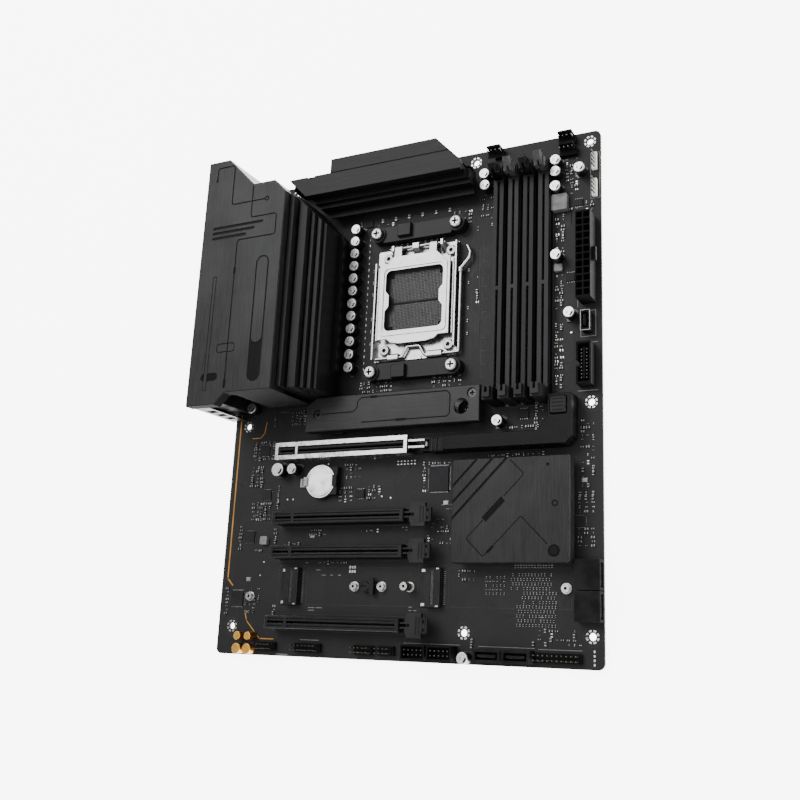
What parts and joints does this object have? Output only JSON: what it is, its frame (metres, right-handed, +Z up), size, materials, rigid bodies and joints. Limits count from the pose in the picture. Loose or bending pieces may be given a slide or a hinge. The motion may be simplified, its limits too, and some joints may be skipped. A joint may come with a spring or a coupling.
{
  "type": "computer motherboard",
  "caption": "Full-size desktop motherboard with hinged processor socket, finned heatsinks, rear connector cover, memory and expansion slots, latches and power connectors.",
  "frame": {"origin": "axis of the rear lower mounting hole, at the underside of the circuit board", "axes": "+X from the rear connectors toward the drive connectors, +Y from the expansion slots toward the processor, +Z up out of the component side"},
  "size_m": [0.2465, 0.3053, 0.0522],
  "materials": {
    "board": "satin solder mask over glass laminate",
    "black_steel": "satin",
    "socket_steel": "satin",
    "screw_steel": "satin",
    "port_steel": "satin",
    "cell_steel": "satin",
    "black_aluminium": "brushed, anodised",
    "cover_aluminium": "brushed, anodised",
    "can_aluminium": "satin",
    "gold_sleeve": "gloss",
    "ferrite": "matte",
    "chip_resin": "matte",
    "thermal_pad": "matte",
    "black_plastic": "matte",
    "dark_plastic": "matte",
    "grey_plastic": "satin",
    "white_plastic": "matte",
    "brass": "satin, gold plated"
  },
  "bodies": {
    "board": {"circuit_board": "board", "cooler_backplate": "black_steel", "socket_body": "dark_plastic", "socket_frame": "socket_steel", "socket_frame_screws": "socket_steel", "cooler_bracket_lower": "black_plastic", "cooler_bracket_upper": "black_plastic", "cooler_screws": "screw_steel", "chokes": "ferrite", "thermal_pads": "thermal_pad", "vrm_heatsink_rear": "black_aluminium", "vrm_heatsink_top": "black_aluminium", "rear_ports": "port_steel", "network_port": "port_steel", "audio_jacks": "black_plastic", "antenna_posts": "brass", "rear_button_block": "black_plastic", "io_shield": "black_steel", "io_cover": "cover_aluminium", "m2_heatsink": "cover_aluminium", "m2_heatsink_screws": "screw_steel", "chipset_heatsink": "cover_aluminium", "dimm_slot_1": "black_plastic", "dimm_slot_2": "grey_plastic", "dimm_slot_3": "black_plastic", "dimm_slot_4": "grey_plastic", "pcie_slot_1": "grey_plastic", "pcie_slot_2": "grey_plastic", "pcie_slot_3": "grey_plastic", "pcie_slot_4": "grey_plastic", "pcie_slot_shield": "port_steel", "pcie_release_bar": "cover_aluminium", "coin_cell": "cell_steel", "coin_cell_holder": "black_plastic", "m2_connectors": "black_plastic", "m2_standoffs": "brass", "atx_power_connector": "black_plastic", "cpu_power_connectors": "black_plastic", "board_headers": "black_plastic", "rgb_headers": "white_plastic", "header_pins": "brass", "front_usb_headers": "black_plastic", "drive_connectors": "black_plastic", "polymer_capacitors": "can_aluminium", "audio_capacitors": "gold_sleeve", "chip_packages": "chip_resin"},
    "load_plate": {"load_plate": "socket_steel"},
    "load_lever": {"load_lever": "socket_steel"},
    "dimm_latch_1": {"dimm_latch_1": "black_plastic"},
    "dimm_latch_2": {"dimm_latch_2": "grey_plastic"},
    "dimm_latch_3": {"dimm_latch_3": "black_plastic"},
    "dimm_latch_4": {"dimm_latch_4": "grey_plastic"},
    "pcie_latch_1": {"pcie_latch_1": "grey_plastic"},
    "pcie_latch_2": {"pcie_latch_2": "grey_plastic"},
    "pcie_latch_3": {"pcie_latch_3": "grey_plastic"},
    "pcie_latch_4": {"pcie_latch_4": "port_steel"},
    "pcie_release_button": {"pcie_release_button": "cover_aluminium"},
    "m2_latch": {"m2_latch": "grey_plastic"},
    "bios_button": {"bios_button": "black_plastic"},
    "clear_button": {"clear_button": "black_plastic"}
  },
  "joints": [
    {"name": "load_plate_hinge", "type": "hinge", "parent": "board", "child": "load_plate", "pos_m": [0.11844, 0.23049, 0.0055], "axis": [-1, 0, 0], "range_deg": [0, 110]},
    {"name": "load_lever_hinge", "type": "hinge", "parent": "board", "child": "load_lever", "pos_m": [0.11844, 0.15999, 0.005], "axis": [1, 0, 0], "range_deg": [0, 120]},
    {"name": "dimm_latch_1_hinge", "type": "hinge", "parent": "board", "child": "dimm_latch_1", "pos_m": [0.17314, 0.26709, 0.005], "axis": [-1, 0, 0], "range_deg": [0, 25]},
    {"name": "dimm_latch_2_hinge", "type": "hinge", "parent": "board", "child": "dimm_latch_2", "pos_m": [0.18254, 0.26709, 0.005], "axis": [-1, 0, 0], "range_deg": [0, 25]},
    {"name": "dimm_latch_3_hinge", "type": "hinge", "parent": "board", "child": "dimm_latch_3", "pos_m": [0.19194, 0.26709, 0.005], "axis": [-1, 0, 0], "range_deg": [0, 25]},
    {"name": "dimm_latch_4_hinge", "type": "hinge", "parent": "board", "child": "dimm_latch_4", "pos_m": [0.20134, 0.26709, 0.005], "axis": [-1, 0, 0], "range_deg": [0, 25]},
    {"name": "pcie_latch_1_hinge", "type": "hinge", "parent": "board", "child": "pcie_latch_1", "pos_m": [0.1249, 0.00305, 0.0046], "axis": [0, 1, 0], "range_deg": [0, 25]},
    {"name": "pcie_latch_2_hinge", "type": "hinge", "parent": "board", "child": "pcie_latch_2", "pos_m": [0.1249, 0.04369, 0.0046], "axis": [0, 1, 0], "range_deg": [0, 25]},
    {"name": "pcie_latch_3_hinge", "type": "hinge", "parent": "board", "child": "pcie_latch_3", "pos_m": [0.1249, 0.06401, 0.0046], "axis": [0, 1, 0], "range_deg": [0, 25]},
    {"name": "pcie_release_slide", "type": "slide", "parent": "board", "child": "pcie_release_button", "axis": [0, 0, -1], "range_m": [0, 0.003], "stiffness_N_per_m": 300},
    {"name": "pcie_latch_4_hinge", "type": "hinge", "parent": "board", "child": "pcie_latch_4", "pos_m": [0.1307, 0.10465, 0.0066], "axis": [0, 1, 0], "range_deg": [0, 12.1]},
    {"name": "m2_latch_turn", "type": "hinge", "parent": "board", "child": "m2_latch", "pos_m": [0.09304, 0.02429, 0.0034], "axis": [0, 0, 1], "range_deg": [0, 90]},
    {"name": "bios_button_slide", "type": "slide", "parent": "board", "child": "bios_button", "axis": [1, 0, 0], "range_m": [0, 0.0012], "stiffness_N_per_m": 250},
    {"name": "clear_button_slide", "type": "slide", "parent": "board", "child": "clear_button", "axis": [1, 0, 0], "range_m": [0, 0.0012], "stiffness_N_per_m": 250}
  ],
  "couplings": [
    {"joint": "pcie_latch_4_hinge", "follows": "pcie_release_slide", "rad_per_m": 69.8}
  ]
}
